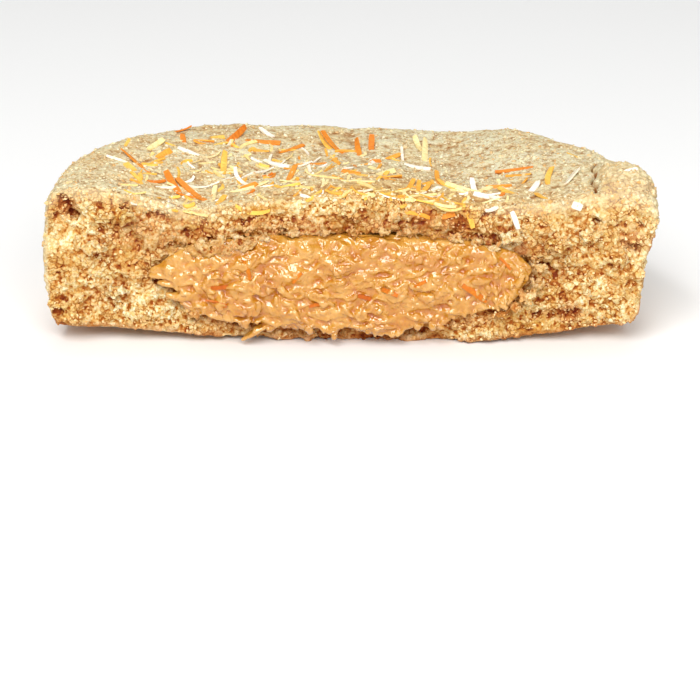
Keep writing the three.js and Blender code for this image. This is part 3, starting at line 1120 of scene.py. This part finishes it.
    def colour_crust(self, body):
        """Stores where the surface is crust, where it is pale, wall, rim or golden, and where painted
        shade fills its cracks.
        """
        x, y, z = points_of(body.data).T
        depth = y - CUT_Y
        lump = broken(x, depth) * rising(9, 20, z) * rising(1, 3, depth)
        outside = falling(0.3, 1.2, within(x, z))
        behind = np.clip(depth / (5 * MM), 0, 1) * np.where(depth < 6 * MM, outside, 1)
        attribute(body, "behind", behind * (1 - 0.85 * lump))
        ends = rising(18, 30, np.abs(x))
        edge = ends * falling(0.6, 3.2, below_top(x, z))
        attribute(body, "pale", np.maximum(lump, 1.2 * edge))
        wall = rising(0.5, 6, depth) * falling(12, 26, z)
        attribute(body, "wall", wall)
        attribute(body, "rim", wall * falling(1, 8, z))
        golden = bell(x - 7 * MM, 24) * bell(depth, 11)
        golden = np.maximum(golden, 0.08 * rising(20, -30, x))
        attribute(body, "golden", np.maximum(golden, 0.75 * wall))
        # Where the cracks are, for their painted shade.
        cracked = np.zeros(len(x))
        for corners, width, _ in CRACKS:
            away = distance_to_line(x / MM, depth / MM, corners)
            cracked = np.maximum(cracked, 1 - smoothstep(width * 0.2, width * 0.7, away))
        attribute(body, "cracked", cracked * (z > FILLING_Z))

    def colour_crumb(self, body):
        """Stores pits and peaks at three sizes, for painted shade and light, and where the surface is
        moist, where browned, and where greasy and in painted shadow under the filling.
        """
        points = points_of(body.data)
        x, y, z = points.T
        depth = y - CUT_Y
        # Relief at three sizes, for painted shade in pits, clefts and hollows and painted light on peaks.
        attribute(body, "pit", 0.49 + relief(body.data, 3) / (0.38 * MM))
        attribute(body, "cleft", 0.5 + relief(body.data, 16) / (1.3 * MM))
        attribute(body, "broad", 0.5 + relief(body.data, 60) / (2.2 * MM))
        attribute(body, "moist", soaked(points))
        base = np.where(depth < 2 * MM, above_base(x, z), z - COOKIE_LOW.z)
        browned = 0.8 * falling(0.3, 1.6, base)
        for across, up, radius in TOASTED_SPOTS:
            away = np.hypot(x - across * MM, z - up * MM) / (radius * MM)
            browned = np.maximum(browned, 0.9 * (1 - smoothstep(0.4, 1.3, away)) * (depth <= 5 * MM))
        attribute(body, "browned", browned)
        # The strip under the filling: greasy, and in painted shadow under its overhang.
        below = below_filling(x, z)
        across = 1 - smoothstep(0.9, 1.1, np.abs(x - FILLING_X) / FILLING_HALF)
        strip = rising(-1, 0, below) * falling(1.5, 5, below)
        attribute(body, "greasy", across * strip * (depth < 6 * MM))


# ---- The cream ----
class COOKIE_OT_filling(bpy.types.Operator):
    """Fills the pocket with streaky nut cream that bulges out of the cut"""

    bl_idname = "cookie.filling"
    bl_label = "Filling"

    def execute(self, context):
        colours = context.scene.cookie_colours
        dice = np.random.default_rng(SEED + 1)
        cream = copy_of_node("filling", "filling_cream")
        remesh(cream, CREAM_STEPS[0])
        front = self.front(cream)
        shift(cream, 0.4 * MM)
        displace(cream, ridges(3.6 * MM, 1), -1.8 * MM, front, "Y", 0.35, stretch=(1.6, 1, 1))
        joined(cream, self.strings(cream, dice), self.drips(dice), self.tongues())
        remesh(cream, CREAM_STEPS[1])
        swirled = smoothstep(-0.3, 0.5, self.swirls(points_of(cream.data)))
        rough = self.front(cream) * (0.35 + 0.65 * swirled)
        displace(cream, ridges(1.6 * MM, 0), -0.95 * MM, rough, stretch=(1.5, 1, 1))
        displace(cream, texture("CLOUDS", 0.8 * MM), 0.5 * MM, rough)
        modify(cream, "SMOOTH", factor=0.5, iterations=2)
        thin_out(cream, CREAM_TRIANGLES)
        # Relief at two sizes, for painted shade in folds and hollows and painted light on crests.
        attribute(cream, "pit", 0.5 + relief(cream.data, 8) / (0.6 * MM))
        attribute(cream, "broad", 0.5 + relief(cream.data, 50) / (1.8 * MM))
        cream.data.materials.append(nut_cream(colours))
        smooth_shading(cream)
        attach(cream, BODY)
        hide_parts("filling")
        return {"FINISHED"}

    def front(self, cream):
        """1 on the front, fading to 0 behind the cut."""
        return falling(0, 2, points_of(cream.data)[:, 1] - CUT_Y)

    def swirls(self, points):
        """Between -1 and 1, and high where the knife left the cream rough."""
        x, z = points[:, 0] / MM, points[:, 2] / MM
        return np.sin(0.42 * x + 0.35 * z + 1.0) * np.cos(0.55 * z - 0.16 * x + 0.4)

    def on_front(self, centres, normals):
        """The front inside its edges, thickest at its right end."""
        x, y, z = centres.T
        top = np.interp(x, FILLING_EDGES[0], FILLING_EDGES[2])
        bottom = np.interp(x, FILLING_EDGES[0], FILLING_EDGES[1])
        inside = (z < top - 1.0 * MM) & (z > bottom + 0.6 * MM)
        right = np.where(x > FILLING_X + 0.72 * FILLING_HALF, 2.5, 1.0)
        return right * ((normals[:, 1] < -0.25) & (y < CUT_Y + 0.5 * MM) & inside)

    def strings(self, cream, dice):
        """Curled strings, half sunk in the front and lying the way that the knife dragged them."""
        places, normals = spread(cream.data, self.on_front, STRINGS, dice)
        x, z = (places[:, 0] - FILLING_X) / FILLING_HALF, (places[:, 2] - FILLING_Z) / (10 * MM)
        heading = 0.5 * np.sin(4.0 * x + 1.0) + 0.7 * z + dice.normal(0, 0.55, STRINGS)
        heading = np.where(x > 0.72, math.pi / 2 + dice.normal(0, 0.25, STRINGS), heading)
        along = np.stack([np.cos(heading), np.zeros(STRINGS), np.sin(heading)], 1)
        along = unit(along - normals * np.einsum("ij,ij->i", along, normals)[:, None])
        turns = np.stack([along, np.cross(normals, along), normals], 2)
        width = 0.3 * MM * np.exp(dice.normal(0, 0.3, STRINGS))
        length = np.minimum(width * dice.uniform(1.5, 7.0, STRINGS), 1.8 * MM)
        sizes = np.stack([length, width, width], 1)
        places -= normals * (width * dice.uniform(-0.1, 0.8, STRINGS))[:, None]
        vertices, faces = ball(3)
        blunt = np.sign(vertices) * np.abs(vertices) ** [1.0, 0.6, 0.6]
        bend = dice.normal(0, 0.7, STRINGS)
        return clones("strings", (blunt, faces), places, sizes, turns, dice, bend=bend)

    def drips(self, dice):
        """Blobs and short threads that hang over the filling's lower edge."""
        x = FILLING_X + FILLING_HALF * dice.uniform(-0.75, 0.8, DRIPS)
        z = np.interp(x, FILLING_EDGES[0], FILLING_EDGES[1]) + dice.uniform(-0.2, 0.6, DRIPS) * MM
        y = np.full(DRIPS, CUT_Y - 0.5 * MM) - dice.uniform(0, 0.7, DRIPS) * MM
        lean = dice.normal(0, 0.5, DRIPS)
        along = unit(np.stack([np.sin(lean), np.full(DRIPS, -0.25), -np.cos(lean)], 1))
        turns = turned_along(along, unit(np.cross(along, [0, 1, 0])))
        width = 0.4 * MM * np.exp(dice.normal(0, 0.3, DRIPS))
        sizes = np.stack([width * dice.uniform(1.3, 3.0, DRIPS), width, width], 1)
        return clones("drips", ball(2), np.stack([x, y, z], 1), sizes, turns, dice, uneven=0.06)

    def tongues(self):
        """The long smears at the filling's tip and under its edge, each listed."""
        rows = np.array(TONGUES, float)
        heading = np.radians(rows[:, 2])
        none = np.zeros(len(rows))
        places = np.stack([rows[:, 0] * MM, none + CUT_Y + 0.1 * MM, rows[:, 1] * MM], 1)
        along = np.stack([np.cos(heading), none, np.sin(heading)], 1)
        turns = turned_along(along, np.stack([-np.sin(heading), none, np.cos(heading)], 1))
        sizes = np.stack([rows[:, 3], rows[:, 4], none + 0.9], 1) * MM
        return clones("tongues", ball(3), places, sizes, turns)


# ---- Loose crumb ----
class COOKIE_OT_grains(bpy.types.Operator):
    """Scatters the loose grains that cling to the torn crumb, and the grit of the crust"""

    bl_idname = "cookie.grains"
    bl_label = "Crumb grains"

    def execute(self, context):
        sizes, colours = context.scene.cookie_sizes, context.scene.cookie_colours
        dice = np.random.default_rng(SEED + 2)
        body = bpy.data.objects["cookie"]
        self.grains(body, sizes.grain, colours, dice)
        self.sand(body, colours, dice)
        return {"FINISHED"}

    def grains(self, body, size, colours, dice):
        """The loose grains, thinned out between their clusters."""
        places = spread(body.data, self.near_cut, int(CUT_AREA * GRAINS), dice)[0]
        clusters = spread(body.data, self.near_cut, GRAIN_CLUSTERS, dice)[0]
        away = np.min(np.linalg.norm(places[:, None] - clusters[None], axis=2), axis=1)
        kept = LONE_GRAINS + CLUSTERED_GRAINS * bell(away, CLUSTER_WIDTH)
        places = places[dice.random(len(places)) < kept]
        count = len(places)
        radius = size * np.exp(dice.normal(-0.1, 0.35, count))
        shapes = dice.uniform(0.55, 1.4, (count, 3)) * radius[:, None]
        turns = random_turns(count, dice)
        grains = clones("crumb_grains", ball(1), places, shapes, turns, dice, uneven=0.4)
        attribute(grains, "moist", soaked(points_of(grains.data)))
        grains.data.materials.append(dough_grain("crumb_grain", colours, "#CE9A58", "#DFB574", "#F0D6A2"))
        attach(grains, BODY)

    def sand(self, body, colours, dice):
        """The grit of the crust: low lumps of dough, half sunk in it."""
        places, normals = spread(body.data, self.on_crust, GRIT, dice)
        radius = GRIT_SIZE * np.exp(np.minimum(dice.normal(0, 0.35, GRIT), 0.4))
        shapes = radius[:, None] * dice.uniform(0.6, 1.5, (GRIT, 3))
        places -= normals * (radius * dice.uniform(0.2, 0.9, GRIT))[:, None]
        sand = clones("crust_grit", ball(1), places, shapes, random_turns(GRIT, dice), dice, uneven=0.35)
        sand.data.materials.append(dough_grain("crust_grit", colours, "#C8985A", "#DCCCA0", "#E6DCBC"))
        smooth_shading(sand)
        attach(sand, BODY)

    def on_crust(self, centres, normals):
        """The top of the crust and the upper part of its sides, thickest in front."""
        x, y, z = centres.T
        depth = y - CUT_Y
        to_crack = [distance_to_line(x / MM, depth / MM, corners) for corners, _, _ in CRACKS]
        upward = smoothstep(-0.2, 0.5, normals[:, 2]) * (z > FILLING_Z) * (depth > 0.8 * MM)
        upward = upward * ((within(x, z) < 0.6 * MM) | (depth > 7 * MM))
        upward = upward * (1 - 0.8 * (np.minimum.reduce(to_crack) < 1.2))
        return upward * (1 - 0.6 * rising(10, 40, depth))

    def near_cut(self, centres, normals):
        """Thick on the cut, and thinning out over the crust's front edge."""
        depth = centres[:, 1] - CUT_Y
        on_top = (normals[:, 2] > 0.3) * (centres[:, 2] > FILLING_Z)
        return on_cut(centres, normals) * 1.0 + on_top * 0.5 * falling(0, 7, depth)


# ---- The coconut ----
class COOKIE_OT_coconut(bpy.types.Operator):
    """Lays the shreds of coconut that are baked into the top, one piece for each shade"""

    bl_idname = "cookie.coconut"
    bl_label = "Coconut shreds"

    def execute(self, context):
        dice = np.random.default_rng(SEED + 3)
        ground = Ground("cookie_half", bpy.data.objects["cookie"])
        shape = shred_shape()
        for shade, (count, pale, deep) in COCONUT.items():
            rows = [*LAID_SHREDS[shade], *self.scattered(count, dice)]
            shreds = laid_shreds(f"coconut_{shade}", shape, ground, rows, dice)
            if shade in HANGING_SHREDS:
                hanging = HANGING_SHREDS[shade]
                joined(shreds, laid_shreds("hanging", shape, ground, hanging, dice, front=True))
            shreds.data.materials.append(dried_coconut(shade, pale, deep))
            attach(shreds, BODY)
        ground = Ground("filling", bpy.data.objects["filling_cream"])
        flakes = laid_shreds("coconut_in_cream", shape, ground, CREAM_FLAKES, dice, front=True)
        flakes.data.materials.append(dried_coconut("soaked", "#D27C14", "#B05408"))
        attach(flakes, BODY)
        return {"FINISHED"}

    def scattered(self, count, dice):
        """Rows like those of LAID_SHREDS, thick along the front edge and thin over the left and middle."""
        rows = []
        while len(rows) < count:
            x, back = dice.uniform(-44, 40), dice.uniform(0.3, 34)
            front = math.exp(-(((x - 9) / 15) ** 2) - (back / 7) ** 2)
            left = 0.3 * float(x < 10 and -40 < x - 0.2 * back)
            if dice.random() < max(front, left, 0.03):
                length = min(6.0, 2.6 * math.exp(dice.normal(0, 0.35)))
                width = 0.5 * math.exp(dice.normal(0, 0.3))
                heading, curl, rise = dice.uniform(0, 180), dice.normal(0, 35), dice.uniform(0, 0.5)
                rows.append((x, back, heading, length, width, curl, rise))
        return rows


class Ground:
    """The smooth solid that a shred follows, and the rough piece that it lies on."""

    def __init__(self, node_name, piece):
        self.smooth = search_tree(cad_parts[node_name].data)
        self.rough = search_tree(piece.data)

    def walk(self, point, ahead, step):
        """Points a step apart on the smooth solid, its normals, and how high the rough piece is there."""
        path = []
        for _ in range(SHRED_SEGMENTS + 1):
            found, normal, _, _ = self.smooth.find_nearest(point)
            hit = self.rough.ray_cast(found + normal * 2 * RAY_MARGIN, -normal)[0]
            path.append((*found, *normal, (hit - found).dot(normal) if hit else 0.0))
            ahead = (ahead - normal * ahead.dot(normal)).normalized()
            point = found + ahead * step
        return np.array(path)


def shred_shape():
    """Vertices and faces of a straight ribbon one long, one wide and one thick, in segments along X."""
    bpy.ops.object.select_all(action="DESELECT")
    bpy.ops.mesh.primitive_cube_add(size=1)
    ribbon = bpy.context.object
    bpy.ops.object.mode_set(mode="EDIT")
    bpy.ops.mesh.select_mode(type="EDGE")
    bpy.ops.mesh.select_all(action="DESELECT")
    bpy.ops.object.mode_set(mode="OBJECT")
    for edge in ribbon.data.edges:
        first, second = (ribbon.data.vertices[i].co for i in edge.vertices)
        edge.select = abs(first.x - second.x) > 0.5
    bpy.ops.object.mode_set(mode="EDIT")
    bpy.ops.mesh.subdivide(number_cuts=SHRED_SEGMENTS - 1)
    bpy.ops.object.mode_set(mode="OBJECT")
    shape = points_of(ribbon.data), np.array([list(face.vertices) for face in ribbon.data.polygons])
    bpy.data.objects.remove(ribbon)
    return shape


def laid_shreds(name, shape, ground, rows, dice, front=False):
    """One mesh of ribbons, each bent to the ground that it lies on, which is the top or the front."""
    vertices, faces = shape
    share = np.linspace(0, 1, SHRED_SEGMENTS + 1)
    station = np.round((vertices[:, 0] + 0.5) * SHRED_SEGMENTS).astype(int)
    taper = 1 - 0.22 * np.abs(2 * share - 1) ** 4
    ribbons, tints = [], []
    for x, reach, heading, length, width, curl, rise in rows:
        turn = math.radians(heading)
        if front:
            start = Vector((x * MM, CUT_Y - RAY_MARGIN, reach * MM))
            turned = Vector((math.cos(turn), 0, math.sin(turn)))
        else:
            start = Vector((x * MM, CUT_Y + reach * MM, COOKIE_HIGH.z))
            turned = Vector((math.cos(turn), math.sin(turn), 0))
        start -= turned * length * MM / 2
        path = ground.walk(start, turned, length * MM / SHRED_SEGMENTS)
        normal = unit(path[:, 3:6].mean(0))
        height = (path[:, 6].mean() + np.sort(path[:, 6])[-2]) / 2
        line = path[:, :3] + normal * (height + (rise * share**2 - 0.05) * MM)[:, None]
        ahead = unit(np.gradient(line, axis=0))
        side = unit(np.cross(normal, ahead))
        line = line + side * (length * MM * math.radians(curl) / 2 * (share - share**2))[:, None]
        roll = (dice.normal(0, 0.35) + dice.normal(0, 0.5) * (share - 0.5))[:, None]
        across = side * np.cos(roll) + np.cross(ahead, side) * np.sin(roll)
        up = np.cross(ahead, across)
        flat = (width * MM * taper)[station, None] * vertices[:, 1:2] * across[station]
        thick = min(SHRED_THICKNESS, width * 0.5) * MM * vertices[:, 2:3] * up[station]
        ribbons.append(line[station] + flat + thick)
        tints.append(dice.random())
    piece = built(name, ribbons, faces, tints)
    attribute(piece, "tip", np.tile(np.abs(2 * share - 1)[station], len(ribbons)))
    edited(piece, bpy.ops.mesh.normals_make_consistent, inside=False)
    return piece


# ---- The stage ----
class COOKIE_OT_stage(bpy.types.Operator):
    """Lays the pale floor, sets the soft lights and places the camera"""

    bl_idname = "cookie.stage"
    bl_label = "Stage"

    def execute(self, context):
        self.floor()
        self.lights(context.scene)
        self.camera(context.scene)
        return {"FINISHED"}

    def floor(self):
        bpy.ops.object.select_all(action="DESELECT")
        bpy.ops.mesh.primitive_plane_add(size=FLOOR_SIZE, location=(0, 0, 0))
        floor = bpy.context.object
        floor.name = "floor"
        # Matt white board, which gives a pale ground without glare.
        board = new_material("white_board")[0]
        floor.data.materials.append(shaded(board, Base_Color="#F4F4F3", Roughness=0.9))

    def lights(self, scene):
        centre = Vector((0, 0, (CAD_BOX[0].z + CAD_BOX[1].z) / 2))
        for name, place, size, watts in LIGHTS:
            data = bpy.data.lights.new(name, "AREA")
            data.shape = "DISK"
            data.size = size
            data.energy = watts
            light = bpy.data.objects.new(name, data)
            light.location = place
            light.rotation_mode = "QUATERNION"
            light.rotation_quaternion = (centre - light.location).to_track_quat("-Z", "Y")
            scene.collection.objects.link(light)
        world = bpy.data.worlds.new("studio")
        world.use_nodes = True
        background = world.node_tree.nodes["Background"]
        set_up(world.node_tree, background, {"Color": WHITE, "Strength": WORLD_STRENGTH})
        scene.world = world
        scene.view_settings.view_transform = "Standard"
        scene.view_settings.look = "None"

    def camera(self, scene):
        data = bpy.data.cameras.new("camera")
        data.lens = LENS
        data.sensor_width = SENSOR
        data.clip_start, data.clip_end = CAMERA_CLIP
        camera = bpy.data.objects.new("camera", data)
        scene.collection.objects.link(camera)
        target = Vector((0, COOKIE_LOW.y + 1 * MM, CAMERA_TARGET_Z))
        away = Vector((0, -math.cos(CAMERA_ELEVATION), math.sin(CAMERA_ELEVATION)))
        camera.location = target + away * CAMERA_DISTANCE
        camera.rotation_euler = (math.pi / 2 - CAMERA_ELEVATION - CAMERA_DROP, 0, 0)
        scene.camera = camera


class COOKIE_PT_panel(bpy.types.Panel):
    """The cookie's operators, sizes and colours"""

    bl_idname = "COOKIE_PT_panel"
    bl_label = "Stuffed cookie half"
    bl_space_type = "VIEW_3D"
    bl_region_type = "UI"
    bl_category = "Cookie"

    def draw(self, context):
        for operator in OPERATORS:
            self.layout.operator(operator.bl_idname)
        for group in (context.scene.cookie_sizes, context.scene.cookie_colours):
            box = self.layout.box()
            for name in group.bl_rna.properties.keys():
                if name not in ("rna_type", "name"):
                    box.prop(group, name)


OPERATORS = (
    COOKIE_OT_stage,
    COOKIE_OT_baked_half,
    COOKIE_OT_filling,
    COOKIE_OT_grains,
    COOKIE_OT_coconut,
)
CLASSES = (CookieSizes, CookieColours, *OPERATORS, COOKIE_PT_panel)


def register():
    for each in CLASSES:
        bpy.utils.register_class(each)
    bpy.types.Scene.cookie_sizes = PointerProperty(type=CookieSizes)
    bpy.types.Scene.cookie_colours = PointerProperty(type=CookieColours)


def unregister():
    del bpy.types.Scene.cookie_colours
    del bpy.types.Scene.cookie_sizes
    for each in reversed(CLASSES):
        bpy.utils.unregister_class(each)


def main():
    register()
    bpy.ops.cookie.stage()
    bpy.ops.cookie.baked_half()
    bpy.ops.cookie.filling()
    bpy.ops.cookie.grains()
    bpy.ops.cookie.coconut()


if __name__ == "__main__":
    main()
